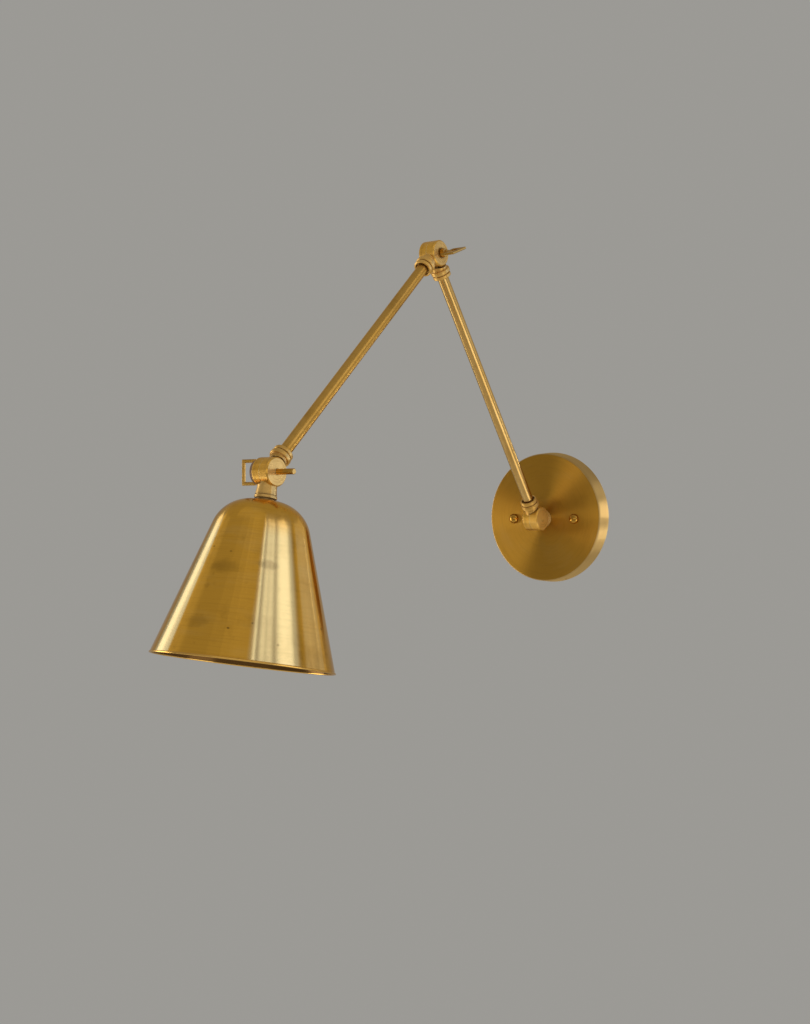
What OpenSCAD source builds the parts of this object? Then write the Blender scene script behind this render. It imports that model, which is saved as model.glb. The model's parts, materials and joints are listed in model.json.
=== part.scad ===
// Swing arm wall lamp in brass: a round canopy, two jointed arms and a bell shade.
// Frame: X runs right along the wall, +Y goes into the wall, Z is up.
// The origin is the centre of the crossbar on the wall plane.

/* [Pose] */
// Lean of the lower arm from upright, out from the wall
lower_lean = 35.6; // [10:0.1:80]
// Lean of the forearm from straight down, out from the wall
fore_lean = 46.8; // [40:0.1:80]
// Tilt of the shade, mouth away from the wall
shade_tilt = 11.2; // [0:0.1:60]
// Turn of the elbow thumbscrew's loop, 0 lies level
elbow_loop_turn = 22; // [-180:1:180]
// Turn of the head thumbscrew's loop, 90 stands upright
head_loop_turn = 90; // [-180:1:180]

/* [Canopy] */
// Diameter of the canopy's face
canopy_d = 127; // [120:0.5:150]
// Diameter of the canopy at the wall
canopy_back_d = 129.6; // [128:0.1:155]
// Depth of the canopy from the wall to its face
canopy_depth = 15; // [14:0.5:18]
// Thickness of the spun sheet
canopy_wall = 1.2; // [0.8:0.1:2]
// Outside radius of the canopy's edge
canopy_edge_r = 1.7; // [1.5:0.1:4]
// Height of the canopy's centre above the crossbar's line
canopy_lift = 1.5; // [0:0.5:2.5]
// Diameter of the drain hole in the canopy's side
drain_d = 3; // [2:0.5:4]
// Angle of the drain hole from straight down
drain_angle = 17; // [0:1:45]

/* [Crossbar] */
// Length of the crossbar
bar_len = 108; // [106:1:112]
// Height of the crossbar
bar_h = 19; // [17:0.5:24]
// Thickness of the crossbar
bar_t = 1.6; // [1.2:0.1:2]
// Distance between the slots that take the box screws
slot_spacing = 88.9; // [88:0.1:90]
// Length of each slot, end to end
slot_len = 12; // [8:0.5:13]
// Width of each slot
slot_w = 4.6; // [4:0.1:5.5]
// Diameter of the wire hole in the crossbar's middle
bar_hole_d = 10.5; // [9:0.5:14]
// Distance between the canopy's two studs
stud_spacing = 70; // [66:0.5:71]
// Diameter of a stud
stud_d = 4; // [3:0.5:5]
// Radial clearance of a stud in the canopy
stud_clear = 0.5; // [0.3:0.1:1]
// Distance of the earth screw from the middle of the crossbar
earth_x = 18; // [16:0.5:24]
// Diameter of the earth screw
earth_d = 3.4; // [3:0.1:4.2]
// Height of the earth screw's head
earth_head_h = 2.2; // [1.6:0.1:3]

/* [Leads] */
// Diameter of a lead behind the canopy
lead_d = 1.8; // [1.4:0.1:2.2]
// Radius of the bend where a lead turns out of the stem
lead_bend = 3; // [2:0.5:3.5]
// Distance of a lead from the middle of the stem
lead_x = 1.3; // [1.2:0.1:1.8]
// Distance of the connectors from the crossbar's line
connector_start = 14.5; // [12:0.5:20]
// Length of a connector
connector_len = 18; // [14:0.5:22]
// Diameter of a connector's mouth
connector_d = 9; // [7:0.5:10]
// Diameter of a connector's closed end
connector_end_d = 5.6; // [4:0.2:7]
// Depth of a connector's mouth
connector_depth = 8; // [6:0.5:10]

/* [Cap nuts] */
// Diameter of a cap nut
cap_d = 9.8; // [8:0.2:12]
// Height of a cap nut
cap_h = 5; // [4:0.5:8]
// Height of the cap nut's straight foot
cap_foot = 1.4; // [1:0.1:2]
// Depth that a stud leaves at the end of its cap nut
stud_short = 0.2; // [0.1:0.1:0.5]

/* [Swivel] */
// Distance of the base hinge from the canopy's face
pivot_gap = 15.5; // [15:0.5:24]
// Diameter of the hollow stem that turns in the canopy
stem_d = 9.7; // [9:0.1:10.5]
// Diameter of the wire way through the stem
stem_bore_d = 6.4; // [5:0.2:7]
// Outside diameter of the bush in the canopy
bush_d = 13; // [12.5:0.5:15]
// Diameter of the bush's flange
bush_flange_d = 19; // [17:0.5:24]
// Thickness of the bush's flange
bush_flange_t = 1.2; // [1:0.1:2]
// Thickness of the spring washer
swivel_washer_t = 0.9; // [0.6:0.1:1.2]
// Size of the lock nut across its flats
lock_nut_af = 14; // [13:0.5:17]
// Thickness of the lock nut
lock_nut_t = 3.6; // [3:0.2:4.4]
// Length of the stem past its lock nut
stem_past_nut = 0.6; // [0.4:0.1:1.5]

/* [Knuckles] */
// Diameter of a knuckle's disc
disc_d = 23; // [21:0.5:26]
// Thickness of each half of a knuckle
half_t = 8.4; // [7.6:0.1:9.4]
// Gap between the two halves of a knuckle
lap_gap = 0.1; // [0.06:0.02:0.2]
// Clearance between a disc and the other half's shoulder
lap_clear = 1.6; // [0.8:0.1:2]
// Chamfer round a disc's outer face
disc_chamfer = 1; // [0.5:0.1:1.2]
// Diameter of the neck of the base and the head
neck_d = 15.4; // [12:0.2:15.6]
// Diameter of the neck between an arm's knuckle and its collar
arm_neck_d = 14; // [12:0.2:15.6]
// Thickness of the rim round a disc's wire chamber
chamber_rim = 2.7; // [1.8:0.1:3.5]
// Thickness of the wall between the chamber and the outer face
chamber_wall = 2.4; // [2:0.1:3.5]
// Diameter of the boss round the pivot
boss_d = 9; // [8:0.2:10]
// Diameter of the wire way through a neck
wire_way_d = 4.2; // [3:0.2:4.4]

/* [Collars] */
// Diameter of the collar's wide band
band_d = 17.4; // [15.8:0.2:20]
// Width of the wide band
band_w = 4; // [3:0.2:6]
// Length of the neck between a knuckle's shoulder and its wide band
neck_len = 1.8; // [0.4:0.1:2.4]
// Step between the base knuckle's shoulder and its collar
collar_step = 0.2; // [0.1:0.1:0.6]
// Width of the groove between the two bands
band_groove = 0.7; // [0.5:0.1:1.2]
// Diameter of the collar's cup
cup_d = 16.4; // [15:0.2:18]
// Length of the cup
cup_w = 3.4; // [3:0.2:6]
// Wall of the cup
cup_wall = 1.6; // [1:0.1:2]
// Depth of the recess round the tube
cup_depth = 2.6; // [2:0.2:3.2]
// Rounding of the bands' edges
band_round = 1; // [0.3:0.1:1.2]

/* [Arms] */
// Length of the lower arm from hinge to hinge
lower_len = 290; // [200:1:400]
// Length of the forearm from hinge to hinge
fore_len = 290; // [200:1:400]
// Outside diameter of the arm tubes
tube_d = 10; // [9:0.1:10.6]
// Wall of the arm tubes
tube_wall = 1; // [0.8:0.1:1.5]
// Thickness of the wall between a lap and the end of its tube
tube_stop = 1.8; // [1.2:0.1:3]
// Diameter of the cable inside the arms
cable_d = 5.2; // [4:0.1:5.4]
// Length that the cable stops short of its tube's ends
cable_short = 0.5; // [0.2:0.1:2]
// Gap between the cable and the wall that it lies on
cable_rest = 0.3; // [0.1:0.1:0.4]

/* [Pivot screws] */
// Diameter of the pivot screws
screw_d = 5; // [4:0.1:5.5]
// Diameter of a screw's washer
washer_d = 9.6; // [8.6:0.2:11]
// Thickness of a screw's washer
washer_t = 0.8; // [0.5:0.1:1]
// Diameter of the base screw's head
screw_head_d = 8.6; // [7.6:0.2:9.6]
// Height of the base screw's head
screw_head_h = 3.2; // [2.4:0.2:4]
// Width of the slot in the base screw's head
driver_slot_w = 1.2; // [0.8:0.1:1.6]
// Depth that a blind screw leaves at the end of its hole
blind_gap = 0.4; // [0.2:0.1:0.8]
// Thickness of the wall that closes a blind hole
blind_wall = 0.8; // [0.5:0.1:1.2]

/* [Thumbscrews] */
// Diameter of the thumbscrew's hub
hub_d = 7.8; // [7:0.2:9]
// Diameter of the stalk between the hub and the loop
stalk_d = 4.4; // [3.6:0.2:5]
// Length of the stalk
stalk_len = 1; // [0.4:0.1:1.2]
// Distance from the middle of the hinge to the loop
loop_start = 14.4; // [14.2:0.1:18]
// Length of the loop along the screw
loop_len = 14; // [12:0.5:20]
// Width of the loop across the screw
loop_w = 20.4; // [16:0.2:24]
// Width of the loop's bars
loop_bar = 2.8; // [2.4:0.1:3.6]
// Thickness of the loop's plate
loop_t = 2.2; // [1.8:0.1:3]
// Chamfer along the loop's edges
loop_chamfer = 0.5; // [0.3:0.1:0.7]
// Diameter of the friction washer under the head's thumbscrew
head_washer_d = 20; // [16:0.5:21]
// Thickness of the friction washer
head_washer_t = 3; // [1:0.1:3.2]
// Length of the head screw's tail beyond its knuckle
tail_len = 17.5; // [6:0.5:24]
// Diameter of the tail
tail_d = 4.6; // [3.6:0.1:5]

/* [Head neck] */
// Diameter of the head's neck where it meets the lip
flare_d = 16.8; // [16:0.1:17.4]
// Distance from the head hinge to the groove over the lip
flare_end = 18; // [17:0.1:19]
// Width of the groove over the lip
lip_groove = 0.6; // [0.4:0.1:1]
// Diameter of the lip
lip_d = 17.6; // [17.4:0.1:19]
// Thickness of the lip
lip_t = 2.4; // [1.6:0.1:3]
// Diameter of the seat ring between the lip and the shade
seat_d = 13.8; // [13:0.1:15]
// Thickness of the seat ring
seat_t = 1.7; // [1:0.1:2.5]

/* [Shade] */
// Height of the shade
shade_h = 124.2; // [110:0.2:150]
// Diameter of the shade's mouth
mouth_d = 139.6; // [120:0.2:160]
// Diameter of the flat crown at the shade's top
crown_d = 18.2; // [17:0.2:24]
// Radius of the shade's shoulder
shoulder_r = 29.4; // [24:0.2:34]
// Thickness of the shade's sheet
shade_wall = 1; // [0.8:0.1:1.5]
// Thickness of the washer inside the crown
crown_washer_t = 1; // [0.8:0.1:1.5]
// Gap between the crown washer's edge and the shoulder
crown_washer_gap = 0.3; // [0.2:0.1:0.5]

/* [Lampholder] */
// Outside diameter of the lampholder's threaded tube
nipple_d = 9.6; // [9:0.1:10]
// Bore of the lampholder's threaded tube
nipple_bore_d = 6.6; // [5.8:0.1:7]
// Height of the lampholder's cap
holder_cap_h = 13; // [12:0.5:16]
// Length of the lampholder's shell
holder_shell_len = 31; // [29:0.5:36]
// Thickness of the cap and the shell
holder_wall = 0.8; // [0.5:0.1:1]
// Overlap of the shell in the cap
holder_overlap = 4; // [3:0.5:6]
// Rounding of the cap's shoulder
holder_round = 4; // [2:0.5:6]
// Wall of the insulating body
insulator_wall = 2; // [1.5:0.1:2.4]
// Gap between the insulating body and the screw shell
insulator_gap = 0.16; // [0.1:0.02:0.3]
// Length of the shell past the insulating body
shell_lip = 1; // [0.5:0.1:2]
// Floor of the insulating body
insulator_floor = 5; // [4:0.5:7]
// Diameter of the screw shell's bore
screw_shell_d = 26.8; // [26.6:0.1:27.2]
// Thickness of the screw shell
screw_shell_t = 0.4; // [0.3:0.05:0.5]
// Thickness of the centre contact
contact_t = 0.8; // [0.5:0.1:1]
// Thickness of the nut in the lampholder's cap
holder_nut_t = 3; // [2.4:0.2:4]
// Size of that nut across its flats
holder_nut_af = 14; // [13:0.5:16]

/* [Bulb] */
// Diameter of the bulb's screw cap
bulb_cap_d = 26.4; // [26:0.1:26.5]
// Length of the bulb's screw cap
bulb_cap_len = 24; // [22:0.5:26]
// Diameter of the bulb's globe
globe_d = 45; // [40:1:60]
// Length of the whole bulb
bulb_len = 78; // [72:1:84]
// Thickness of the bulb's glass
glass_t = 0.8; // [0.6:0.1:1.2]
// Thickness of the bulb's screw cap
bulb_cap_t = 0.4; // [0.3:0.1:0.6]

/* [Fits] */
// Radial clearance of a part that turns
run_clear = 0.05; // [0.02:0.01:0.1]
// Radial clearance of a part that is fixed
fixed_clear = 0.02; // [0:0.01:0.05]
// Radial clearance of a screw that passes through
pass_clear = 0.08; // [0.05:0.01:0.1]

/* [Hidden] */
$fn = 72;
fine = 0.01;
// How far a cut runs past the face that it opens
past = 1;
canopy_r = canopy_d / 2;
canopy_back_r = canopy_back_d / 2;
disc_r = disc_d / 2;
neck_r = neck_d / 2;
arm_neck_r = arm_neck_d / 2;
lap_half_gap = lap_gap / 2;
knuckle_face = lap_half_gap + half_t;
shoulder_at = disc_r + lap_clear;
tube_seat = shoulder_at + tube_stop;
band_start = shoulder_at + neck_len;
band_end = band_start + band_w;
cup_start = band_end + band_groove;
collar_end = cup_start + cup_w;
cup_bore_r = cup_d / 2 - cup_wall;
tube_r = tube_d / 2;
tube_bore_r = tube_r - tube_wall;
cable_r = cable_d / 2;
screw_r = screw_d / 2;
chamber_r = disc_r - chamber_rim;
chamber_depth = half_t - chamber_wall;
screw_end = knuckle_face - blind_wall - blind_gap;
head_face = knuckle_face + washer_t;
head_washer_face = knuckle_face + head_washer_t;
stem_r = stem_d / 2;
lead_in_stem = 3;
hub_round = 0.4;
tail_chamfer = 0.4;
lead_wall_gap = 0.4;
lead_y = max(bar_t + lead_d / 2, connector_d / 2) + lead_wall_gap;
stem_out = pivot_gap;
pivot_out = canopy_depth + pivot_gap;
canopy_inside = canopy_depth - canopy_wall;
canopy_inner_edge_r = max(canopy_edge_r - canopy_wall, canopy_wall / 4);
bush_end = canopy_inside - bush_flange_t;
nut_start = bush_end - swivel_washer_t;
stem_end = nut_start - lock_nut_t - stem_past_nut;
lip_start = flare_end + lip_groove;
lip_end = lip_start + lip_t;
shade_top = lip_end + seat_t;
shade_mouth = shade_top + shade_h;
mouth_r = mouth_d / 2;
crown_r = crown_d / 2;
crown_washer_r = crown_r - crown_washer_gap;
// The shade's straight side is tangent to its shoulder and ends at the mouth
side_run = norm([mouth_r - crown_r, shade_h - shoulder_r]);
side_angle = atan((mouth_r - crown_r) / (shade_h - shoulder_r)) - asin(shoulder_r / side_run);
nipple_r = nipple_d / 2;
crown_inside = shade_top + shade_wall;
holder_top = crown_inside + crown_washer_t;
screw_shell_r = screw_shell_d / 2;
insulator_bore_r = screw_shell_r + screw_shell_t + insulator_gap;
insulator_r = insulator_bore_r + insulator_wall;
shell_r = insulator_r + fixed_clear + holder_wall;
holder_cap_r = shell_r + fixed_clear + holder_wall;
shell_start = holder_top + holder_cap_h - holder_overlap;
shell_end = shell_start + holder_shell_len;
insulator_start = shell_start;
insulator_end = shell_end - shell_lip;
contact_start = insulator_start + insulator_floor;
bulb_start = contact_start + contact_t;
bulb_end = bulb_start + bulb_len;
bulb_cap_r = bulb_cap_d / 2;
globe_r = globe_d / 2;
contact_r = 4;
contact_pin_r = 1.4;
bulb_tip_r = 5;
bulb_taper = 4;
bulb_flare = 40;
glass_in_cap = 2;
bulb_neck_r = bulb_cap_r - bulb_cap_t - fixed_clear;
globe_at = bulb_len - bulb_cap_len + glass_in_cap - globe_r;

brass = [0.76, 0.60, 0.30];
dark_brass = [0.62, 0.47, 0.22];
steel = [0.72, 0.72, 0.72];

// Frames of the four hinges: the neck or arm in each runs along +Z
module from_wall() {
    rotate([90, 0, 0]) children();
}

module at_base() {
    translate([0, -pivot_out, 0]) children();
}

module at_elbow() {
    at_base() rotate([lower_lean, 0, 0]) translate([0, 0, lower_len])
        rotate([-lower_lean, 0, 0]) children();
}

module at_head() {
    at_elbow() rotate([180 - fore_lean, 0, 0]) translate([0, 0, fore_len])
        rotate([fore_lean - 180, 0, 0]) children();
}

module along_lower_arm() {
    at_base() rotate([lower_lean, 0, 0]) children();
}

module along_forearm() {
    at_elbow() rotate([180 - fore_lean, 0, 0]) children();
}

module along_shade() {
    at_head() rotate([180 - shade_tilt, 0, 0]) children();
}

// Turns +Z to +X for side 1 and to -X for side -1
module along_x(side) {
    rotate([0, 90 * side, 0]) children();
}

module ring(outer_r, inner_r, start, end) {
    translate([0, 0, start]) difference() {
        cylinder(r = outer_r, h = end - start);
        translate([0, 0, -past]) cylinder(r = inner_r, h = end - start + 2 * past);
    }
}

// A band of revolution with rounded edges
module band(r, start, end, round_r) {
    rotate_extrude() union() {
        translate([0, start]) square([r - round_r, end - start]);
        translate([0, start + round_r]) square([r, end - start - 2 * round_r]);
        translate([r - round_r, start + round_r]) circle(r = round_r, $fn = 24);
        translate([r - round_r, end - round_r]) circle(r = round_r, $fn = 24);
    }
}

// One half of a knuckle, with the start of its neck along +Z
module lap_disc(side) {
    along_x(side) translate([0, 0, lap_half_gap]) rotate_extrude() polygon([
        [0, 0], [disc_r, 0], [disc_r, half_t - disc_chamfer],
        [disc_r - disc_chamfer, half_t], [0, half_t]]);
}

module lap_cuts(side, bore_r, bore_end) {
    along_x(-side) translate([0, 0, -lap_half_gap])
        cylinder(r = shoulder_at, h = half_t + 2 * past);
    along_x(side) difference() {
        translate([0, 0, -past]) cylinder(r = chamber_r, h = chamber_depth + lap_half_gap + past);
        translate([0, 0, -2 * past]) cylinder(r = boss_d / 2, h = half_t + 2 * past);
    }
    along_x(side) translate([0, 0, -past]) cylinder(r = bore_r, h = bore_end + past);
}

module wire_way(side, end) {
    translate([side * wire_way_d / 2, 0, disc_r / 2])
        cylinder(d = wire_way_d, h = end - disc_r / 2);
}

// A knuckle half that carries an arm tube in a collar
module arm_knuckle(side, bore_r, bore_end) {
    difference() {
        union() {
            lap_disc(side);
            cylinder(r = arm_neck_r, h = collar_end - cup_depth);
            band(band_d / 2, band_start, band_end, band_round);
            band(cup_d / 2, cup_start, collar_end, band_round);
        }
        lap_cuts(side, bore_r, bore_end);
        wire_way(side, tube_seat + past);
        translate([0, 0, tube_seat])
            cylinder(r = tube_r + fixed_clear, h = collar_end);
        translate([0, 0, collar_end - cup_depth]) cylinder(r = cup_bore_r, h = cup_depth + past);
    }
}

module arm_tube(len) {
    ring(tube_r, tube_bore_r, tube_seat, len - tube_seat);
}

// The cable lies on the lower side of its tube
module arm_cable(len, down) {
    translate([0, down * (tube_bore_r - cable_r - cable_rest), tube_seat + cable_short])
        cylinder(r = cable_r, h = len - 2 * (tube_seat + cable_short));
}

module slab(w, t, start, end) {
    translate([-w / 2, -t / 2, start]) cube([w, t, end - start]);
}

// A flat loop with chamfered edges, drawn along +Z with its plate in the XZ plane
module thumb_loop() {
    window_w = loop_w - 2 * loop_bar;
    window_end = loop_len - loop_bar;
    translate([0, 0, loop_start]) difference() {
        hull() {
            slab(loop_w, loop_t - 2 * loop_chamfer, 0, loop_len);
            slab(loop_w - 2 * loop_chamfer, loop_t, loop_chamfer, loop_len - loop_chamfer);
        }
        slab(window_w, 2 * loop_t, loop_bar, window_end);
        for (side = [-1, 1]) hull() {
            translate([0, side * (loop_t / 2 - loop_chamfer), 0])
                slab(window_w, fine, loop_bar, window_end);
            translate([0, side * (loop_t / 2 + loop_chamfer), 0])
                slab(window_w + 4 * loop_chamfer, fine, loop_bar - 2 * loop_chamfer,
                    window_end + 2 * loop_chamfer);
        }
    }
}

// A thumbscrew whose hub bears on a washer's face
module thumbscrew(shank_end, face) {
    hub_end = loop_start - stalk_len;
    translate([0, 0, -shank_end]) cylinder(r = screw_r, h = shank_end + (face + hub_end) / 2);
    band(hub_d / 2, face, hub_end, hub_round);
    translate([0, 0, face]) cylinder(d = stalk_d, h = loop_start - face + loop_bar / 2);
    thumb_loop();
}

// The head's thumbscrew, with the tail that comes out of its far end
module head_screw() {
    tail_end = knuckle_face + tail_len;
    thumbscrew(knuckle_face, head_washer_face);
    translate([0, 0, -tail_end + tail_chamfer]) cylinder(d = tail_d, h = tail_len);
    translate([0, 0, -tail_end])
        cylinder(d1 = tail_d - 2 * tail_chamfer, d2 = tail_d, h = tail_chamfer);
}

module screw_washer() {
    ring(washer_d / 2, screw_r + pass_clear, knuckle_face, head_face);
}

module friction_washer() {
    difference() {
        band(head_washer_d / 2, knuckle_face, head_washer_face, hub_round);
        cylinder(r = screw_r + pass_clear, h = head_washer_face + past);
    }
}

// Canopy and what lies behind it
module canopy_profile(r, back_r, depth, edge_r) {
    difference() {
        union() {
            square([r - edge_r, depth]);
            polygon([[0, 0], [back_r, 0], [r, depth - edge_r], [0, depth - edge_r]]);
            translate([r - edge_r, depth - edge_r]) circle(r = edge_r, $fn = 48);
        }
        translate([-2 * r, -r]) square([2 * r, 3 * r]);
    }
}

module canopy() {
    color(brass) from_wall() difference() {
        translate([0, canopy_lift, 0]) difference() {
            rotate_extrude($fn = 180)
                canopy_profile(canopy_r, canopy_back_r, canopy_depth, canopy_edge_r);
            translate([0, 0, -fine]) rotate_extrude($fn = 180)
                canopy_profile(canopy_r - canopy_wall, canopy_back_r - canopy_wall,
                    canopy_inside + fine, canopy_inner_edge_r);
            rotate([90, 0, drain_angle]) translate([0, canopy_depth / 3, canopy_back_r - 2 * drain_d])
                cylinder(d = drain_d, h = 4 * drain_d);
        }
        translate([0, 0, canopy_inside - past])
            cylinder(r = bush_d / 2 + fixed_clear, h = canopy_wall + 2 * past);
        for (side = [-1, 1]) translate([side * stud_spacing / 2, 0, canopy_inside - past])
            cylinder(r = stud_d / 2 + stud_clear, h = canopy_wall + 2 * past);
    }
}

module slot(length, width, depth) {
    for (end = [-1, 1]) translate([end * (length - width) / 2, 0, 0])
        cylinder(d = width, h = depth);
    translate([(width - length) / 2, -width / 2, 0]) cube([length - width, width, depth]);
}

module crossbar() {
    color(steel) from_wall() difference() {
        intersection() {
            translate([-bar_len / 2, -bar_h / 2, 0]) cube([bar_len, bar_h, bar_t]);
            translate([0, 0, -past]) cylinder(d = bar_len, h = bar_t + 2 * past);
        }
        for (side = [-1, 1]) {
            translate([side * slot_spacing / 2, 0, -past])
                slot(slot_len, slot_w, bar_t + 2 * past);
            translate([side * stud_spacing / 2, 0, -past])
                cylinder(r = stud_d / 2 + fixed_clear, h = bar_t + 2 * past);
        }
        translate([0, 0, -past]) cylinder(d = bar_hole_d, h = bar_t + 2 * past);
        translate([earth_x, 0, -past]) cylinder(r = earth_d / 2 + fixed_clear, h = bar_t + 2 * past);
    }
}

module canopy_studs() {
    color(steel) from_wall() for (side = [-1, 1]) translate([side * stud_spacing / 2, 0, 0])
        cylinder(d = stud_d, h = canopy_depth + cap_h / 2);
}

module cap_nut() {
    dome_h = cap_h - cap_foot;
    dome_r = (pow(cap_d / 2, 2) + pow(dome_h, 2)) / (2 * dome_h);
    difference() {
        rotate_extrude() {
            square([cap_d / 2, cap_foot]);
            intersection() {
                translate([0, cap_h - dome_r]) circle(r = dome_r);
                square([cap_d / 2, cap_h]);
            }
        }
        translate([0, 0, -past]) cylinder(r = stud_d / 2 + fixed_clear, h = cap_h / 2 + stud_short + past);
    }
}

module cap_nuts() {
    color(brass) from_wall() for (side = [-1, 1])
        translate([side * stud_spacing / 2, 0, canopy_depth]) cap_nut();
}

module slotted_head(head_d, head_h) {
    difference() {
        cylinder(d = head_d, h = head_h);
        translate([-head_d, -driver_slot_w / 2, head_h / 2]) cube([2 * head_d, driver_slot_w, head_h]);
    }
}

module earth_screw() {
    color([0.25, 0.55, 0.28]) from_wall() translate([earth_x, 0, 0]) {
        cylinder(d = earth_d, h = bar_t + earth_head_h / 2);
        translate([0, 0, bar_t]) slotted_head(2 * earth_d, earth_head_h);
    }
}

// Leads from the stem's mouth to the two connectors
module lead() {
    translate([lead_x, lead_bend, lead_y + lead_bend]) rotate([-90, 0, 0]) rotate([0, 90, 0])
        rotate_extrude(angle = 90) translate([lead_bend, 0]) circle(d = lead_d, $fn = 24);
    translate([lead_x, 0, lead_y + lead_bend])
        cylinder(d = lead_d, h = stem_end - lead_y - lead_bend + lead_in_stem);
    translate([lead_x, lead_bend, lead_y]) rotate([-90, 0, 0])
        cylinder(d = lead_d, h = connector_start - lead_bend + connector_depth - past);
}

module supply_leads() {
    color([0.1, 0.1, 0.1]) from_wall() for (turn = [0, 180]) rotate([0, 0, turn]) lead();
}

module connector() {
    difference() {
        cylinder(d1 = connector_d, d2 = connector_end_d, h = connector_len);
        translate([0, 0, -past]) cylinder(r = lead_d / 2 + pass_clear, h = connector_depth + past);
    }
}

module wire_connectors() {
    color([0.85, 0.45, 0.12]) from_wall() for (turn = [0, 180]) rotate([0, 0, turn])
        translate([lead_x, connector_start, lead_y]) rotate([-90, 0, 0]) connector();
}

module swivel_bush() {
    color(dark_brass) from_wall() {
        ring(bush_d / 2, stem_r + run_clear, bush_end, canopy_depth);
        ring(bush_flange_d / 2, stem_r + run_clear, bush_end, canopy_inside);
    }
}

// Base knuckle and what turns with it
module base_knuckle() {
    color(brass) at_base() rotate([-90, 0, 0]) difference() {
        union() {
            lap_disc(1);
            cylinder(r = neck_r, h = stem_out);
            band(band_d / 2, shoulder_at + collar_step, stem_out, band_round / 2);
            cylinder(r = stem_r, h = pivot_out - stem_end);
        }
        lap_cuts(1, screw_r + fixed_clear, screw_end + blind_gap);
        wire_way(1, stem_out);
        translate([0, 0, stem_out - past]) cylinder(d = stem_bore_d, h = pivot_out);
    }
}

module swivel_washer() {
    color(steel) from_wall() ring(lock_nut_af / 2, stem_r + fixed_clear, nut_start, bush_end);
}

module hex_nut(af, bore_r, start, end) {
    translate([0, 0, start]) difference() {
        cylinder(r = af / sqrt(3), h = end - start, $fn = 6);
        translate([0, 0, -past]) cylinder(r = bore_r, h = end - start + 2 * past);
    }
}

module lock_nut() {
    color(steel) from_wall()
        hex_nut(lock_nut_af, stem_r + fixed_clear, nut_start - lock_nut_t, nut_start);
}

module base_pivot_screw() {
    color(brass) at_base() along_x(-1) {
        translate([0, 0, -screw_end]) cylinder(r = screw_r, h = screw_end + head_face + screw_head_h / 2);
        translate([0, 0, head_face]) slotted_head(screw_head_d, screw_head_h);
    }
}

module base_washer() {
    color(steel) at_base() along_x(-1) screw_washer();
}

// Lower arm
module lower_arm_foot() {
    color(brass) along_lower_arm() arm_knuckle(-1, screw_r + pass_clear, knuckle_face + past);
}

module lower_tube() {
    color(brass) along_lower_arm() arm_tube(lower_len);
}

module lower_arm_top() {
    color(brass) at_elbow() rotate([180 + lower_lean, 0, 0])
        arm_knuckle(-1, screw_r + run_clear, screw_end + blind_gap);
}

module lower_cable() {
    color([0.15, 0.15, 0.15]) along_lower_arm() arm_cable(lower_len, -1);
}

// Elbow thumbscrew
module elbow_thumbscrew() {
    color(brass) at_elbow() rotate([elbow_loop_turn, 0, 0]) along_x(1) rotate([0, 0, 90])
        thumbscrew(screw_end, head_face);
}

module elbow_washer() {
    color(steel) at_elbow() along_x(1) screw_washer();
}

// Forearm
module forearm_top() {
    color(brass) along_forearm() arm_knuckle(1, screw_r + pass_clear, knuckle_face + past);
}

module forearm_tube() {
    color(brass) along_forearm() arm_tube(fore_len);
}

module forearm_end() {
    color(brass) at_head() rotate([-fore_lean, 0, 0])
        arm_knuckle(-1, screw_r + pass_clear, knuckle_face + past);
}

module forearm_cable() {
    color([0.15, 0.15, 0.15]) along_forearm() arm_cable(fore_len, 1);
}

// Head thumbscrew
module head_thumbscrew() {
    color(brass) at_head() rotate([head_loop_turn, 0, 0]) along_x(-1) rotate([0, 0, 90])
        head_screw();
}

module head_washer() {
    color([0.2, 0.15, 0.1]) at_head() along_x(-1) friction_washer();
}

// Head
module head_knuckle() {
    color(brass) along_shade() difference() {
        union() {
            lap_disc(1);
            rotate_extrude() polygon([[0, 0], [neck_r, 0], [neck_r, shoulder_at],
                [flare_d / 2, flare_end], [neck_r, flare_end], [neck_r, lip_end], [0, lip_end]]);
            band(lip_d / 2, lip_start, lip_end, 0.5);
        }
        lap_cuts(1, screw_r + run_clear, knuckle_face + past);
        wire_way(1, lip_end);
        translate([0, 0, tube_seat]) cylinder(r = nipple_r + fixed_clear, h = lip_end);
    }
}

module head_nipple() {
    color(dark_brass) along_shade()
        ring(nipple_r, nipple_bore_d / 2, tube_seat, holder_top + holder_wall + holder_nut_t);
}

module head_cable() {
    nipple_end = holder_top + holder_wall + holder_nut_t;
    color([0.15, 0.15, 0.15]) along_shade()
        translate([0, nipple_bore_d / 2 - cable_r - cable_rest, tube_seat + cable_short])
            cylinder(r = cable_r, h = nipple_end - tube_seat - 2 * cable_short);
}

module shade_seat() {
    color(dark_brass) along_shade() ring(seat_d / 2, nipple_r + fixed_clear, lip_end, shade_top);
}

// Outline of the shade's solid from its axis, measured down from its top
module shade_outline(inset) {
    arc_r = shoulder_r - inset;
    side_x = crown_r + arc_r * cos(side_angle);
    side_y = shoulder_r - arc_r * sin(side_angle);
    rim_x = mouth_r - inset / cos(side_angle);
    square([crown_r, shade_h]);
    intersection() {
        translate([crown_r, shoulder_r]) circle(r = arc_r, $fn = 180);
        polygon([[0, inset], [crown_r + shoulder_r, inset], [crown_r + shoulder_r, side_y], [0, side_y]]);
    }
    polygon([[0, side_y], [side_x, side_y], [rim_x, shade_h], [0, shade_h]]);
}

module shade() {
    color(brass) along_shade() translate([0, 0, shade_top]) rotate_extrude($fn = 180)
        difference() {
            shade_outline(0);
            difference() {
                shade_outline(shade_wall);
                translate([-past, -past]) square([mouth_d, shade_wall + past]);
            }
            translate([-past, -past])
                square([nipple_r + pass_clear + past, shade_wall + 2 * past]);
        }
}

module crown_washer() {
    color(steel) along_shade() ring(crown_washer_r, nipple_r + fixed_clear, crown_inside, holder_top);
}

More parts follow.
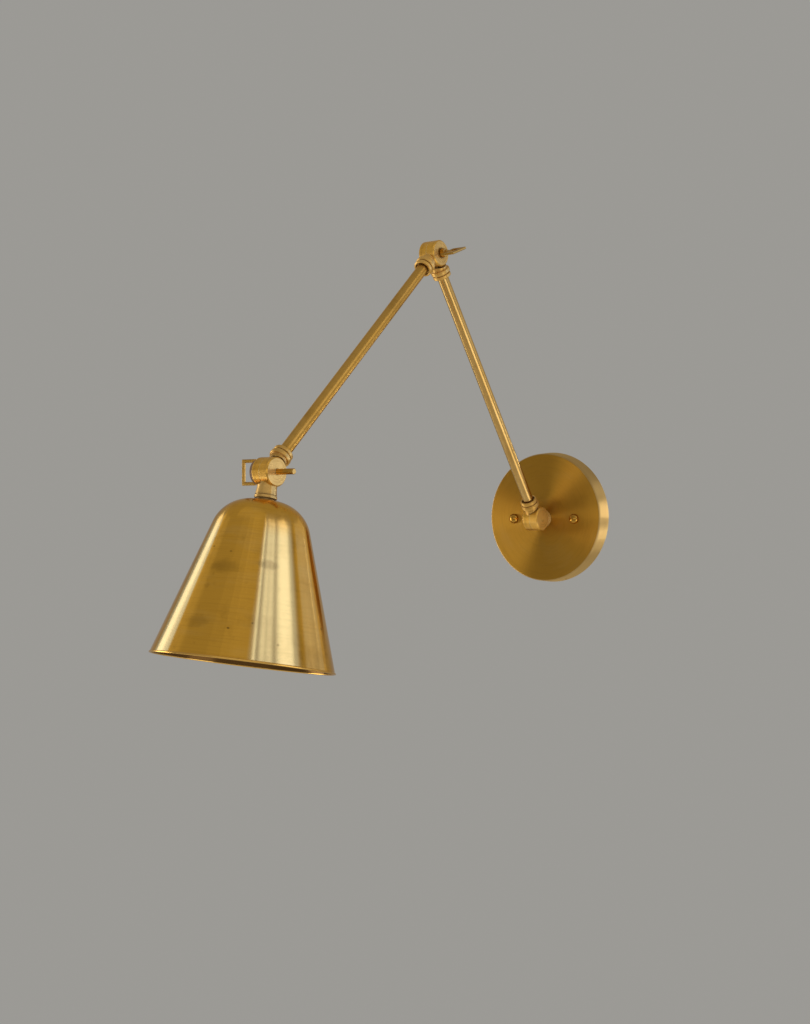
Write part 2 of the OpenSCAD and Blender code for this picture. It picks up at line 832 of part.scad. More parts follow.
module cap_outline(r, round_r, start) {
    translate([0, start]) square([r - round_r, holder_cap_h]);
    translate([0, start + round_r]) square([r, holder_cap_h]);
    translate([r - round_r, start + round_r]) circle(r = round_r);
}

module holder_cap() {
    color(brass) along_shade() translate([0, 0, holder_top]) rotate_extrude() intersection() {
        difference() {
            cap_outline(holder_cap_r, holder_round, 0);
            cap_outline(holder_cap_r - holder_wall, holder_round - holder_wall, holder_wall);
            translate([-past, -past]) square([nipple_r + fixed_clear + past, holder_cap_h]);
        }
        square([holder_cap_r, holder_cap_h]);
    }
}

module holder_nut() {
    color(steel) along_shade() hex_nut(holder_nut_af, nipple_r + fixed_clear,
        holder_top + holder_wall, holder_top + holder_wall + holder_nut_t);
}

module holder_shell() {
    color(brass) along_shade() ring(shell_r, shell_r - holder_wall, shell_start, shell_end);
}

module holder_insulator() {
    color([0.93, 0.92, 0.88]) along_shade() difference() {
        translate([0, 0, insulator_start]) cylinder(r = insulator_r, h = insulator_end - insulator_start);
        translate([0, 0, contact_start]) cylinder(r = insulator_bore_r, h = shell_end);
        translate([0, 0, insulator_start - past])
            cylinder(r = contact_pin_r + pass_clear, h = insulator_floor + 2 * past);
    }
}

module screw_shell() {
    color(dark_brass) along_shade()
        ring(screw_shell_r + screw_shell_t, screw_shell_r, contact_start, insulator_end);
}

module centre_contact() {
    color(dark_brass) along_shade() {
        translate([0, 0, insulator_start]) cylinder(r = contact_pin_r, h = insulator_floor + contact_t / 2);
        translate([0, 0, contact_start]) cylinder(r = contact_r, h = contact_t);
    }
}

module bulb_cap() {
    color(steel) along_shade() translate([0, 0, bulb_start]) difference() {
        union() {
            cylinder(r1 = bulb_tip_r, r2 = bulb_cap_r - 1, h = bulb_taper);
            translate([0, 0, bulb_taper]) cylinder(r = bulb_cap_r, h = bulb_cap_len - bulb_taper);
        }
        translate([0, 0, bulb_taper + bulb_cap_t])
            cylinder(r = bulb_cap_r - bulb_cap_t, h = bulb_cap_len);
    }
}

// Outline of the bulb from its axis, measured from the cap's mouth
module bulb_outline(inset) {
    translate([0, globe_at]) circle(r = globe_r - inset);
    polygon([[0, -inset], [bulb_neck_r - inset, -inset], [bulb_neck_r - inset, glass_in_cap],
        [(globe_r - inset) * cos(bulb_flare), globe_at - (globe_r - inset) * sin(bulb_flare)],
        [0, globe_at]]);
}

module bulb_glass() {
    color([0.97, 0.96, 0.92, 0.6]) along_shade() translate([0, 0, bulb_start + bulb_cap_len - glass_in_cap])
        rotate_extrude($fn = 120) intersection() {
            difference() {
                bulb_outline(0);
                bulb_outline(glass_t);
            }
            square([globe_r, bulb_len]);
        }
}

canopy();
crossbar();
canopy_studs();
cap_nuts();
earth_screw();
wire_connectors();
supply_leads();
swivel_bush();
base_knuckle();
swivel_washer();
lock_nut();
base_pivot_screw();
base_washer();
lower_arm_foot();
lower_tube();
lower_arm_top();
lower_cable();
elbow_thumbscrew();
elbow_washer();
forearm_top();
forearm_tube();
forearm_end();
forearm_cable();
head_thumbscrew();
head_washer();
head_knuckle();
head_nipple();
head_cable();
shade_seat();
shade();
crown_washer();
holder_cap();
holder_nut();
holder_shell();
holder_insulator();
screw_shell();
centre_contact();
bulb_cap();
bulb_glass();
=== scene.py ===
# Looks of the swing arm wall lamp: turned and spun brass, the lampholder, camera, lights and floor
import json
import math

import bpy
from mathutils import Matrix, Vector


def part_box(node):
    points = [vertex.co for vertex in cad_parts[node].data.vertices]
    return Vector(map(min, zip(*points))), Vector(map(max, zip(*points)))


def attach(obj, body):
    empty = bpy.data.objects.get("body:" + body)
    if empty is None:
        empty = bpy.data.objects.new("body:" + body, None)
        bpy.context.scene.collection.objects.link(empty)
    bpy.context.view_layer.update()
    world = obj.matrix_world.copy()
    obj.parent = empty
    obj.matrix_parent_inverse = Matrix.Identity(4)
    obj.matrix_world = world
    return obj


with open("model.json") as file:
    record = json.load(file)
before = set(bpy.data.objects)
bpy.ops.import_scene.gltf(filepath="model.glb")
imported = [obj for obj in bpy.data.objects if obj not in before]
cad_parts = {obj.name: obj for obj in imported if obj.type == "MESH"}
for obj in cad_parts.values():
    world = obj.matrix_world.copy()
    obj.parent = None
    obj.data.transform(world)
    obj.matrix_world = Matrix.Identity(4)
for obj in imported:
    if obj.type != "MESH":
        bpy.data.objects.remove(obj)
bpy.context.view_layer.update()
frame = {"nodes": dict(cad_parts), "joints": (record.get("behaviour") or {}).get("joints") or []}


def centre(node):
    """Middle of a CAD node's box."""
    low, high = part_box(node)
    return (low + high) / 2


# Axes of the turned pieces, from the joints and nodes of the frame
joints = {joint["name"]: joint for joint in frame["joints"]}
BASE = Vector(joints["base_tilt"]["pos_m"])
ELBOW = Vector(joints["elbow"]["pos_m"])
HEAD = Vector(joints["head_tilt"]["pos_m"])
CANOPY = centre("canopy")
X = Vector((1, 0, 0))
Y = Vector((0, 1, 0))
LOWER_AXIS = (ELBOW - BASE).normalized()
FORE_AXIS = (HEAD - ELBOW).normalized()
SHADE_AXIS = (centre("head_nipple") - HEAD).normalized()


class Shader:
    """Short calls for building one material's nodes."""

    def __init__(self, name):
        self.material = bpy.data.materials.new(name)
        self.material.use_nodes = True
        self.tree = self.material.node_tree
        self.tree.nodes.clear()
        self.output = self.tree.nodes.new("ShaderNodeOutputMaterial")

    def new(self, kind, inputs=None, **settings):
        node = self.tree.nodes.new("ShaderNode" + kind)
        for key, value in settings.items():
            setattr(node, key, value)
        for key, value in (inputs or {}).items():
            self.put(node.inputs[key], value)
        return node

    def put(self, socket, value):
        if isinstance(value, bpy.types.NodeSocket):
            self.tree.links.new(value, socket)
        elif isinstance(value, bpy.types.Node):
            self.tree.links.new(value.outputs[0], socket)
        else:
            socket.default_value = value

    def math(self, operation, a, b=0.0, c=0.0):
        return self.new("Math", {0: a, 1: b, 2: c}, operation=operation).outputs[0]

    def times(self, a, b):
        return self.math("MULTIPLY", a, b)

    def less(self, value, share):
        """The value without this share of it."""
        return self.times(value, self.math("SUBTRACT", 1.0, share))

    def sway(self, value, noise, amount):
        """The value, moved up and down by a noise round 0.5."""
        return self.math("MULTIPLY_ADD", self.math("SUBTRACT", noise, 0.5), amount, value)

    def vector(self, operation, a, b=(0, 0, 0)):
        node = self.new("VectorMath", {0: a, 1: b}, operation=operation)
        return node.outputs["Value" if operation in ("DOT_PRODUCT", "LENGTH") else "Vector"]

    def scale(self, vector, factor):
        return self.new("VectorMath", {0: vector, "Scale": factor}, operation="SCALE").outputs["Vector"]

    def noise(self, vector, scale, detail=3.0, roughness=0.5):
        return self.new("TexNoise", {"Vector": vector, "Scale": scale, "Detail": detail,
                                     "Roughness": roughness}).outputs["Fac"]

    def ramp(self, value, low, high):
        """0 below low, 1 above high, smooth between."""
        return self.new("MapRange", {"Value": value, "From Min": low, "From Max": high},
                        interpolation_type="SMOOTHSTEP").outputs["Result"]

    def mix(self, factor, a, b):
        """a where the factor is 0, b where it is 1. Only their numbers tell the colour sockets apart."""
        return self.new("Mix", {0: factor, 6: a, 7: b}, data_type="RGBA").outputs[2]

    def finish(self, shader):
        self.put(self.output.inputs["Surface"], shader)
        return self.material


def lathe_space(shader, place, origin, axis):
    """A turned piece's direction out from its axis, distance from it, run along it and way round it."""
    from_origin = shader.vector("SUBTRACT", place, tuple(origin))
    along = shader.vector("DOT_PRODUCT", from_origin, tuple(axis))
    radial = shader.vector("SUBTRACT", from_origin, shader.scale(tuple(axis), along))
    radius = shader.vector("LENGTH", radial)
    outward = shader.vector("NORMALIZE", radial)
    round_it = shader.vector("NORMALIZE", shader.vector("CROSS_PRODUCT", tuple(axis), radial))
    return outward, radius, along, round_it


def brush_space(shader, outward, run, axis, streak, line):
    """Noise coordinates that give long lines round the axis."""
    return shader.vector("ADD", shader.scale(outward, streak), shader.scale(
        tuple(axis), shader.math("DIVIDE", run, line)))


def toward(angle):
    """Direction out from the shade's axis, at an angle to the right of its front."""
    front = SHADE_AXIS.cross(X).normalized()
    if front.y > 0:
        front = -front
    return X * math.sin(math.radians(angle)) + front * math.cos(math.radians(angle))


# Brass colours, as linear reflectances, and the tint of its sheen at a glancing angle
BRASS = (0.89, 0.70, 0.35, 1)
BRASS_HONEY = (0.87, 0.455, 0.056, 1)
BRASS_TARNISH = (0.30, 0.14, 0.018, 1)
# Dark brown for spots, and for painted shade in seams and under the shade's collar
BRASS_SPOT_AND_SHADE = (0.10, 0.045, 0.012, 1)
BRASS_SHEEN = (0.85, 0.79, 0.7, 1)

# Sizes of the tarnish clouds and of the stains, as noise scales
CLOUD_SCALE = 26.0
STAIN_SCALE = 95.0
# Width of the brush bands, in brush lines
BAND_LINES = 9
# Radius of the rounded edges, in metres
EDGE_RADIUS = 0.0005
# How far painted shade and tarnish reach out from where surfaces meet, in metres
SEAM_SHADE_REACH = 0.003
# Depth of brush lines and of a moulded grain, in metres
RELIEF_DEPTH = 0.00005
# Length over which a painted highlight band begins, either way, and over which a neck begins, in metres
HIGHLIGHT_SOFT = 0.012
NECK_SOFT = 0.0002


def paint_highlight_bands(shader, patina, outward, along, clouds, highlight_bands, highlight_from):
    """The patina, taken off at these angles round the shade from a distance along its axis: pale bands that
    are painted highlights.
    """
    begun = shader.ramp(along, highlight_from - HIGHLIGHT_SOFT, highlight_from + HIGHLIGHT_SOFT)
    for angle, half_width, strength in highlight_bands:
        limit = math.cos(math.radians(half_width))
        span = 1 - limit
        nearness = shader.vector("DOT_PRODUCT", outward, tuple(toward(angle)))
        nearness = shader.sway(nearness, clouds, 0.25 * span)
        patch = shader.times(shader.ramp(nearness, limit - 0.35 * span, limit + 0.3 * span), begun)
        patina = shader.less(patina, shader.times(patch, strength))
    return patina


def spotted(shader, tone, place, axis, stains, marks):
    """The colour with dark spots, which are half as long along the axis as round it."""
    for spot, size, strength in marks:
        away = shader.vector("SUBTRACT", place, tuple(spot))
        lengthwise = shader.vector("DOT_PRODUCT", away, tuple(axis))
        away = shader.vector("ADD", away, shader.scale(tuple(axis), lengthwise))
        distance = shader.sway(shader.vector("LENGTH", away), stains, size * 1.2)
        blot = shader.math("SUBTRACT", 1.0, shader.ramp(distance, size * 0.35, size))
        tone = shader.mix(shader.times(blot, strength), tone, BRASS_SPOT_AND_SHADE)
    return tone


def brass(name, origin, axis, roughness=0.26, anisotropy=0.7, line=0.0016, line_tone=0.2, streak=1.0,
          bump=0.05, honey=0.9, aged=0.0, tarnish=0.3, edge=0.0, faces=0.0, side_highlight=0.0, neck=None,
          highlight_bands=(), highlight_from=0.0, grime_and_shade=None, marks=(), inside=None, metallic=1.0):
    """Turned or spun brass: brush lines round its axis, patina, tarnish clouds, rubbed edges, marks and
    painted light.

    line is the brush lines' width, line_tone how dark they are, streak how short and bump how deep.
    honey is how yellow the patina is, aged how dark, and tarnish how strong its clouds are.
    edge is the radius that edges are rounded and rubbed to.
    faces is how far the flat ends are rubbed clean and made paler, rubbing and a painted highlight;
    side_highlight is how far the round side is made paler, a painted highlight.
    neck is a neck that was turned round an axis of its own, as (axis, start, how far it is rubbed clean and
    painted paler as a highlight, how much rougher).
    highlight_bands lists pale bands round the shade, painted highlights where the patina is taken off, as
    (angle, half width, strength).
    highlight_from is where along the axis these painted highlights start.
    grime_and_shade is the radius within which the top is darkened, a deposit round the neck and painted
    shade under its collar, and the radius where that ends.
    marks lists dark spots, as (place, size, strength).
    inside is the colour of the inner side, painted shade where light hardly reaches.
    metallic is below 1 for a satin finish, which also scatters light.
    """
    shader = Shader(name)
    place = shader.new("TexCoord").outputs["Object"]
    outward, radius, along, round_it = lathe_space(shader, place, origin, axis)
    run = shader.math("ADD", along, radius)
    brushed = brush_space(shader, outward, run, axis, streak, line)
    if neck:
        neck_axis, neck_start, neck_rub_and_highlight, neck_rough = neck
        on_neck = shader.ramp(radius, neck_start, neck_start + NECK_SOFT)
        neck_out, _, neck_along, neck_round = lathe_space(shader, place, origin, neck_axis)
        neck_brushed = brush_space(shader, neck_out, neck_along, neck_axis, streak, line)
        brushed = shader.mix(on_neck, brushed, neck_brushed)
        round_it = shader.mix(on_neck, round_it, neck_round)
    tangent = shader.new("VectorTransform", {"Vector": round_it}, vector_type="VECTOR",
                         convert_from="OBJECT", convert_to="WORLD").outputs["Vector"]
    lines = shader.noise(brushed, 1.0, 2.0, 0.6)
    bands = shader.noise(brush_space(shader, outward, run, axis, 1.3, line * BAND_LINES), 1.0, 3.0, 0.6)
    clouds = shader.noise(place, CLOUD_SCALE, 5.0, 0.62)
    stains = shader.noise(place, STAIN_SCALE, 4.0, 0.55)

    # Patina, where it is rubbed off, and where it is taken off to paint highlights
    patina = shader.sway(honey, bands, 0.4)
    if highlight_bands:
        patina = paint_highlight_bands(shader, patina, outward, along, clouds, highlight_bands, highlight_from)
    # The neck made paler: rubbed clean, and a painted highlight
    if neck:
        patina = shader.less(patina, shader.times(on_neck, neck_rub_and_highlight))
    # Flat ends made paler, by rubbing and as a painted highlight, and the round side as a painted highlight
    if faces or side_highlight:
        flat = shader.vector("DOT_PRODUCT", shader.new("TexCoord").outputs["Normal"], tuple(axis))
        flat = shader.ramp(shader.math("ABSOLUTE", flat), 0.9, 0.97)
        patina = shader.less(patina, shader.math("MULTIPLY_ADD", flat, faces - side_highlight, side_highlight))
    if edge:
        rounded = shader.new("Bevel", {"Radius": edge}, samples=4).outputs["Normal"]
        sharp = shader.new("NewGeometry").outputs["Normal"]
        turn = shader.math("SUBTRACT", 1.0, shader.vector("DOT_PRODUCT", rounded, sharp))
        patina = shader.less(patina, shader.times(shader.ramp(turn, 0.01, 0.15), 0.75))
    patinated = shader.ramp(patina, 0.0, 0.8)
    tone = shader.mix(patina, BRASS, BRASS_HONEY)
    tone = shader.mix(shader.times(patinated, aged), tone, BRASS_TARNISH)

    # Tarnish, weaker where the patina is rubbed off or painted pale
    cover = shader.math("MULTIPLY_ADD", patinated, 0.65, 0.35)
    cloud_mask = shader.times(shader.ramp(clouds, 0.5, 0.72), shader.times(cover, tarnish))
    stain_mask = shader.times(shader.ramp(stains, 0.6, 0.75), shader.times(cover, tarnish * 0.7))
    line_mask = shader.times(shader.ramp(lines, 0.45, 0.75), shader.times(cover, line_tone))
    for mask in (cloud_mask, stain_mask, line_mask):
        tone = shader.mix(mask, tone, BRASS_TARNISH)

    # Darkening round the neck, spots, and darkening in seams that paints shade along with tarnish
    # Painted shade under the shade's collar, with a deposit round the neck
    if grime_and_shade:
        grime_and_shade_mask = shader.math("MULTIPLY_ADD", shader.ramp(radius, *grime_and_shade), -0.85, 0.85)
        tone = shader.mix(grime_and_shade_mask, tone, BRASS_SPOT_AND_SHADE)
    tone = spotted(shader, tone, place, axis, stains, marks)
    # Painted shade with tarnish: darker where other surfaces are near, in seams and under parts
    seam_shade = shader.new("AmbientOcclusion", {"Distance": SEAM_SHADE_REACH}, samples=8, only_local=False)
    clear = shader.math("MULTIPLY_ADD", shader.ramp(seam_shade.outputs["AO"], 0.0, 0.6), 0.8, 0.2)
    tone = shader.mix(clear, BRASS_SPOT_AND_SHADE, tone)

    # Gloss and relief
    rough = shader.math("MULTIPLY_ADD", lines, 0.04, roughness - 0.02)
    rough = shader.math("ADD", rough, shader.times(shader.math("ADD", cloud_mask, stain_mask), 0.06))
    if neck:
        rough = shader.math("MULTIPLY_ADD", on_neck, neck_rough, rough)
    # Painted shade on the inner side
    if inside:
        facing = shader.vector("DOT_PRODUCT", shader.new("TexCoord").outputs["Normal"], outward)
        inner_shade_mask = shader.ramp(shader.times(facing, -1.0), 0.1, 0.3)
        tone = shader.mix(inner_shade_mask, tone, inside)
        rough = shader.math("MULTIPLY_ADD", inner_shade_mask, 0.25, rough)
    relief = shader.new("Bump", {"Strength": bump, "Distance": RELIEF_DEPTH, "Height": lines})
    if edge:
        shader.put(relief.inputs["Normal"], rounded)
    return shader.finish(shader.new("BsdfPrincipled", {
        "Base Color": tone, "Metallic": metallic, "Roughness": rough, "Anisotropic": anisotropy,
        "Anisotropic Rotation": 0.25, "Specular Tint": BRASS_SHEEN, "Normal": relief,
        "Tangent": tangent}))


def darker(colour, share):
    """The colour at this share of its brightness."""
    return tuple(channel * share for channel in colour[:3]) + (1,)


def steel(name, colour=(0.52, 0.52, 0.5, 1), roughness=0.35):
    """Plated steel with faint clouds."""
    shader = Shader(name)
    place = shader.new("TexCoord").outputs["Object"]
    clouds = shader.noise(place, 300.0, 4.0, 0.6)
    tone = shader.mix(shader.times(clouds, 0.5), colour, darker(colour, 0.6))
    rough = shader.math("MULTIPLY_ADD", clouds, 0.2, roughness - 0.1)
    return shader.finish(shader.new("BsdfPrincipled", {
        "Base Color": tone, "Metallic": 1.0, "Roughness": rough}))


def moulded(name, colour, roughness=0.45, grain=900.0):
    """Plastic, fibre, paint, glaze or floor with a fine grain."""
    shader = Shader(name)
    place = shader.new("TexCoord").outputs["Object"]
    fine = shader.noise(place, grain, 3.0, 0.6)
    tone = shader.mix(fine, colour, darker(colour, 0.8))
    rough = shader.math("MULTIPLY_ADD", fine, 0.15, roughness)
    bump = shader.new("Bump", {"Strength": 0.15, "Distance": RELIEF_DEPTH, "Height": fine})
    return shader.finish(shader.new("BsdfPrincipled", {
        "Base Color": tone, "Roughness": rough, "Normal": bump}))


def frosted_glass(name):
    """White glass with an uneven haze."""
    shader = Shader(name)
    place = shader.new("TexCoord").outputs["Object"]
    haze = shader.noise(place, 60.0, 3.0, 0.5)
    rough = shader.math("MULTIPLY_ADD", haze, 0.15, 0.3)
    return shader.finish(shader.new("BsdfPrincipled", {
        "Base Color": (0.93, 0.92, 0.88, 1), "Roughness": rough, "Transmission Weight": 0.55, "IOR": 1.45}))


def dress(node, material):
    """Gives all faces of a CAD node this material."""
    mesh = frame["nodes"][node].data
    mesh.materials.clear()
    mesh.materials.append(material)
    for face in mesh.polygons:
        face.material_index = 0


# Marks on the shade: angle to the right, distance below the hinge, radius there, size and strength
MARKS = (
    (-3.2, 0.0654, 0.0441, 0.0016, 0.75),
    (18.6, 0.0686, 0.0451, 0.0013, 0.6),
    (31.7, 0.1252, 0.0630, 0.0014, 0.95),
    (47.0, 0.1196, 0.0612, 0.0014, 0.7),
    (107.1, 0.1156, 0.0599, 0.0016, 0.6),
    (64.7, 0.1327, 0.0653, 0.0011, 0.5),
    (16.2, 0.0803, 0.0488, 0.0150, 0.24),
    (6.7, 0.1219, 0.0619, 0.0130, 0.22),
    (54.4, 0.0758, 0.0474, 0.0090, 0.3))
SHADE_MARKS = [(HEAD + SHADE_AXIS * along + toward(angle) * out, size, strength)
               for angle, along, out, size, strength in MARKS]

# Painted highlights on the shade, pale bands without patina: angle to the right, half width and strength
SHADE_HIGHLIGHT_BANDS = ((63.5, 15.8, 0.95), (-15.5, 8.5, 1.0), (94, 9, 0.35))
SHADE_HIGHLIGHT_FROM = 0.044
# Darkening round the neck on top of the shade, a deposit there and painted shade under the collar, from this
# radius to that
SHADE_GRIME_AND_SHADE = (0.0125, 0.0205)
# Dark colour inside the shade, painted shade for its unlit inner side
SHADE_INNER_SHADE = (0.22, 0.11, 0.03, 1)

# The canopy, its nuts and the shade
# The canopy's round side is made paler, a painted highlight
dress("canopy", brass("canopy_brass", CANOPY, Y, roughness=0.45, anisotropy=1.0, honey=1.0, aged=0.5,
                      tarnish=0.15, line_tone=0.12, streak=2.0, edge=EDGE_RADIUS, side_highlight=0.6))
dress("cap_nuts", brass("cap_nut_brass", centre("cap_nuts"), Y, roughness=0.16, anisotropy=0.0, honey=0.9,
                        aged=0.6))
dress("shade", brass("shade_brass", HEAD, SHADE_AXIS, roughness=0.14, anisotropy=1.0, honey=1.0, tarnish=0.3,
                     line=0.0014, line_tone=0.13, streak=1.2, bump=0.015, highlight_bands=SHADE_HIGHLIGHT_BANDS,
                     highlight_from=SHADE_HIGHLIGHT_FROM, grime_and_shade=SHADE_GRIME_AND_SHADE, marks=SHADE_MARKS, inside=SHADE_INNER_SHADE))

# Knuckles: node, hinge, neck's axis, roughness, how pale the faces and the neck are, from rubbing and
# painted highlights, metallic
KNUCKLES = (
    ("base_knuckle", BASE, Y, 0.35, 0.2, 0.2, 0.55),
    ("lower_arm_foot", BASE, LOWER_AXIS, 0.35, 0.2, 0.2, 0.75),
    ("lower_arm_top", ELBOW, LOWER_AXIS, 0.28, 0.5, 0.2, 0.7),
    ("forearm_top", ELBOW, FORE_AXIS, 0.28, 0.5, 0.2, 0.7),
    ("forearm_end", HEAD, FORE_AXIS, 0.26, 0.6, 0.2, 0.8),
    ("head_knuckle", HEAD, SHADE_AXIS, 0.26, 0.6, 0.35, 0.75))
# Distance from the hinge's axis at which a neck starts, and how much rougher than its knuckle it is
NECK_START = 0.0118
NECK_ROUGHER = 0.14
for node, origin, neck_axis, roughness, faces, neck_rub_and_highlight, metallic in KNUCKLES:
    dress(node, brass(node + "_brass", origin, X, roughness=roughness, anisotropy=0.8, line=0.002,
                      streak=0.3, line_tone=0.4, bump=0.02, honey=0.95, aged=0.25, edge=EDGE_RADIUS,
                      faces=faces, neck=(neck_axis, NECK_START, neck_rub_and_highlight, NECK_ROUGHER),
                      metallic=metallic))

# Tubes: node, a point on the axis, the axis, roughness, how yellow and how dark
TUBES = (
    ("lower_tube", BASE, LOWER_AXIS, 0.24, 0.5, 0.6),
    ("forearm_tube", ELBOW, FORE_AXIS, 0.32, 0.8, 0.3))
for node, origin, axis, roughness, honey, aged in TUBES:
    dress(node, brass(node + "_brass", origin, axis, roughness=roughness, anisotropy=0.8, line=0.006,
                      streak=0.4, line_tone=0.12, bump=0.01, honey=honey, aged=aged))

# Screws
for node, origin in (("elbow_thumbscrew", ELBOW), ("head_thumbscrew", HEAD)):
    dress(node, brass(node + "_brass", origin, X, roughness=0.24, anisotropy=0.3, streak=0.5, aged=0.5,
                      edge=EDGE_RADIUS, bump=0.02, faces=0.6))
dress("base_pivot_screw", brass("base_pivot_screw_brass", BASE, X, roughness=0.3, anisotropy=0.3,
                                streak=0.5, honey=0.8, edge=EDGE_RADIUS, bump=0.02, faces=0.5))

# Brass inside the shade and the canopy
inner_brass = brass("inner_brass", HEAD, SHADE_AXIS, roughness=0.35, anisotropy=0.3, honey=0.9, tarnish=0.6)
for node in ("head_nipple", "holder_cap", "holder_shell", "screw_shell", "centre_contact"):
    dress(node, inner_brass)
dress("swivel_bush", brass("bush_brass", CANOPY, Y, roughness=0.35, anisotropy=0.3, honey=0.9, tarnish=0.6))

# Steel
bronzed = steel("bronzed_steel", (0.36, 0.22, 0.08, 1), 0.4)
for node in ("shade_seat", "elbow_washer"):
    dress(node, bronzed)
zinc = steel("zinc_steel")
for node in ("crossbar", "canopy_studs", "swivel_washer", "lock_nut", "base_washer",
             "crown_washer", "holder_nut"):
    dress(node, zinc)
dress("bulb_cap", steel("nickel", (0.7, 0.68, 0.62, 1), 0.25))

# Fibre, paint, plastic, porcelain and glass
dress("head_washer", moulded("brown_fibre", (0.20, 0.10, 0.04, 1), 0.5))
dress("earth_screw", moulded("green_paint", (0.03, 0.25, 0.06, 1), 0.35))
dress("wire_connectors", moulded("orange_plastic", (0.8, 0.22, 0.03, 1), 0.35))
black = moulded("black_insulation", (0.02, 0.02, 0.02, 1), 0.5)
for node in ("supply_leads", "lower_cable", "forearm_cable", "head_cable"):
    dress(node, black)
dress("holder_insulator", moulded("glazed_porcelain", (0.85, 0.83, 0.78, 1), 0.15, 300.0))
dress("bulb_glass", frosted_glass("frosted_glass"))


def ring(name, along, radius, thickness, material, body):
    """A rolled bead round the shade, as a ring of round section on the shade's axis."""
    around = 144
    section = 16
    side = SHADE_AXIS.cross(X).normalized()
    points = []
    for k in range(around):
        turn = math.tau * k / around
        out = X * math.cos(turn) + side * math.sin(turn)
        for j in range(section):
            tilt = math.tau * j / section
            points.append(HEAD + SHADE_AXIS * (along + thickness / 2 * math.sin(tilt))
                          + out * (radius + thickness / 2 * math.cos(tilt)))
    faces = [(k * section + j, k * section + (j + 1) % section,
              (k + 1) % around * section + (j + 1) % section, (k + 1) % around * section + j)
             for k in range(around) for j in range(section)]
    mesh = bpy.data.meshes.new(name)
    mesh.from_pydata([tuple(point) for point in points], [], faces)
    mesh.shade_smooth()
    mesh.materials.append(material)
    piece = bpy.data.objects.new(name, mesh)
    bpy.context.scene.collection.objects.link(piece)
    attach(piece, body)


# Bead round the shade's mouth: distance below the hinge, radius and thickness
BEAD_ALONG = 0.1465
BEAD_RADIUS = 0.0694
BEAD_THICKNESS = 0.0016
rim_brass = brass("rim_brass", HEAD, SHADE_AXIS, roughness=0.18, anisotropy=0.3, honey=0.8, streak=1.0)
ring("shade_rim_bead", BEAD_ALONG, BEAD_RADIUS, BEAD_THICKNESS, rim_brass, "head")

# Camera at the photograph's place
CAMERA_AT = Vector((0.71721, -1.16741, 0.00665))
CAMERA_TURN = math.radians(37.744)
LENS = 47.66
camera_data = bpy.data.cameras.new("camera")
camera_data.lens = LENS
camera_data.sensor_width = 36
camera_data.clip_end = 50
camera = bpy.data.objects.new("camera", camera_data)
camera.location = CAMERA_AT
camera.rotation_euler = (math.radians(90), 0, CAMERA_TURN)
bpy.context.scene.collection.objects.link(camera)
bpy.context.scene.camera = camera

# Points that the lights stand round
SHADE_MIDDLE = HEAD + SHADE_AXIS * 0.09
CANOPY_EDGE = CANOPY + X * 0.055


def panel(name, angles, heights, radiance, distance=2.2, around=SHADE_MIDDLE, spread=180.0):
    """A soft light that fills a window of directions round a point: angles to the right, heights up.

    spread is how wide its beam fans out, like a softbox with a grid. It is as bright straight ahead.
    """
    turn = math.radians(sum(angles) / 2)
    lift = math.radians(sum(heights) / 2)
    place = around + distance * Vector((math.sin(turn) * math.cos(lift), -math.cos(turn) * math.cos(lift),
                                        math.sin(lift)))
    width = 2 * distance * math.tan(math.radians(angles[1] - angles[0]) / 2) * math.cos(lift)
    height = 2 * distance * math.tan(math.radians(heights[1] - heights[0]) / 2)
    data = bpy.data.lights.new(name, "AREA")
    data.shape = "RECTANGLE"
    data.size = width
    data.size_y = height
    data.energy = radiance * math.pi * width * height
    if spread < 180:
        half = math.radians(spread) / 2
        data.spread = 2 * half
        data.energy *= 1 - half / math.tan(half)
    light = bpy.data.objects.new(name, data)
    light.location = place
    light.rotation_euler = (around - place).to_track_quat("-Z", "Y").to_euler()
    light.visible_camera = False
    bpy.context.scene.collection.objects.link(light)


# Soft lights all round, like the windows of a studio
panel("left_window", (-93.5, -80), (-6, 32), 1.0)
panel("left_reveal", (-80, -70), (8, 38), 0.35)
panel("left_fill", (-69, -52), (20, 42), 0.1)
panel("left_low", (-76, -50), (-30, 2), 3.2, distance=2.6, around=CANOPY)
panel("front_fill", (-8, 14), (30, 60), 0.03)
panel("front_fill_2", (14, 30), (30, 60), 0.06)
panel("front_fill_3", (30, 58), (30, 60), 0.08)
panel("right_frame", (62.6, 66), (34, 56), 1.0)
panel("right_pane", (71.5, 79), (32, 54), 0.62)
panel("right_bar", (79, 82.3), (30, 52), 0.4)
panel("right_pane_2", (82.3, 89.8), (28, 50), 0.68)
panel("right_key", (96.6, 119.5), (16, 46), 0.88)
panel("right_key_edge", (119.5, 126), (12, 44), 0.25)
panel("right_low", (124, 148), (-14, 9), 0.6)
panel("right_back", (136, 158), (7, 30), 0.18)
panel("right_edge", (158, 177), (2, 28), 0.2)
panel("right_floor", (80, 118), (-46, -13), 1.6)
panel("neck_fill", (8, 75), (-4, 18), 0.6)
panel("canopy_side", (141, 166), (-24, -4), 13.0, distance=0.35, around=CANOPY_EDGE, spread=23)
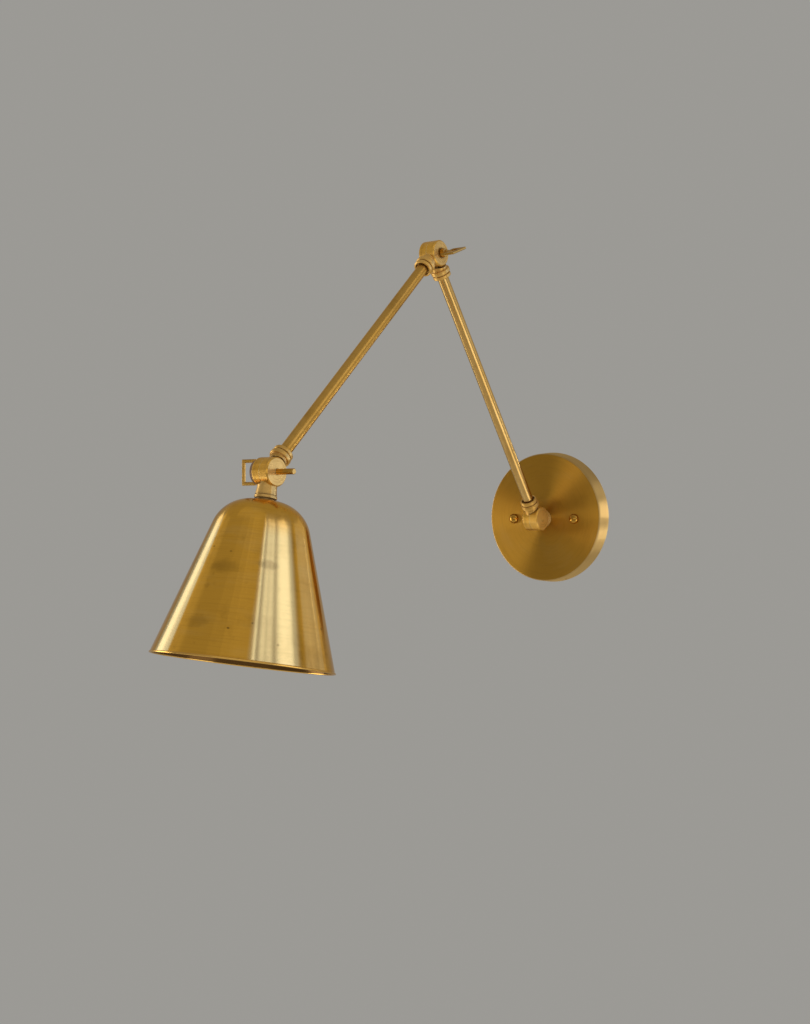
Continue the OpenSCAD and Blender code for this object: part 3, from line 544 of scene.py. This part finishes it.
panel("canopy_side_high", (141, 162), (-4, 16), 24.0, distance=0.35, around=CANOPY_EDGE, spread=24)
panel("left_mid", (-76, -50), (2, 8), 3.0, distance=2.6, around=CANOPY)
panel("top", (-60, 60), (60, 90), 0.08)

# Pale round floor far below, out of the photograph's frame
FLOOR_Z = -1.5
FLOOR_Y = -0.25
FLOOR_R = 1.5
FLOOR_SIDES = 64
corners = []
for k in range(FLOOR_SIDES):
    turn = math.tau * k / FLOOR_SIDES
    corners.append((FLOOR_R * math.cos(turn), FLOOR_R * math.sin(turn) + FLOOR_Y, FLOOR_Z))
floor_mesh = bpy.data.meshes.new("floor")
floor_mesh.from_pydata(corners, [], [list(range(FLOOR_SIDES))])
floor_mesh.materials.append(moulded("pale_floor", (0.72, 0.71, 0.69, 1), 0.8, 20.0))
floor = bpy.data.objects.new("floor", floor_mesh)
bpy.context.scene.collection.objects.link(floor)

# Grey room: what the camera, the metal and the glass see, and a plain soft light for the rest
BACKDROP = (0.330, 0.322, 0.302, 1)
ROOM_LIGHT = (0.65, 0.65, 0.65, 1)
world = bpy.data.worlds.new("room")
bpy.context.scene.world = world
world.use_nodes = True
nodes = world.node_tree.nodes
links = world.node_tree.links
nodes.clear()
seen = nodes.new("ShaderNodeBackground")
seen.inputs["Color"].default_value = BACKDROP
lighting = nodes.new("ShaderNodeBackground")
lighting.inputs["Color"].default_value = ROOM_LIGHT
path = nodes.new("ShaderNodeLightPath")
shown = path.outputs["Is Camera Ray"]
for ray in ("Is Glossy Ray", "Is Transmission Ray"):
    either = nodes.new("ShaderNodeMath")
    either.operation = "MAXIMUM"
    links.new(shown, either.inputs[0])
    links.new(path.outputs[ray], either.inputs[1])
    shown = either.outputs[0]
pick = nodes.new("ShaderNodeMixShader")
links.new(shown, pick.inputs[0])
links.new(lighting.outputs[0], pick.inputs[1])
links.new(seen.outputs[0], pick.inputs[2])
out = nodes.new("ShaderNodeOutputWorld")
links.new(pick.outputs[0], out.inputs[0])

bpy.context.scene.view_settings.view_transform = "Standard"
